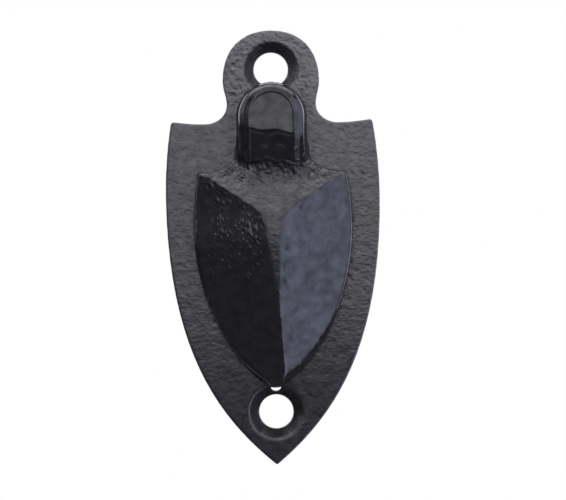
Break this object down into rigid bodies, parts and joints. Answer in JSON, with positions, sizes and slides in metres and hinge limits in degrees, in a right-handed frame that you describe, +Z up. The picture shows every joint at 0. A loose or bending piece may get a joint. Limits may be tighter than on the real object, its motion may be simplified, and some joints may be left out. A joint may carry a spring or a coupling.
{
  "type": "covered keyhole escutcheon",
  "caption": "Black painted cast-iron keyhole plate, shield shaped, with a knobbed cover that swings on a rivet over the keyhole and countersunk screw holes top and bottom.",
  "frame": {"origin": "midway between the two screw holes, on the plate's flat back face", "axes": "+X to the right as seen from the front, +Y out of the back face into the door, +Z up towards the round top lobe"},
  "size_m": [0.0322, 0.009, 0.0651],
  "materials": {
    "plate_paint": "satin black paint over a pebbly as-cast face",
    "cover_paint": "glossy black paint over a cast face",
    "rivet_steel": "peened mild steel, darkened",
    "washer_steel": "plain mild steel"
  },
  "bodies": {
    "plate": {"backplate": "plate_paint"},
    "swinging_cover": {"cover": "cover_paint", "pivot_rivet": "rivet_steel", "rivet_washer": "washer_steel"}
  },
  "joints": [
    {"name": "cover_swing", "type": "hinge", "parent": "plate", "child": "swinging_cover", "pos_m": [0, 0, 0.0162], "axis": [0, -1, 0], "continuous": true}
  ]
}
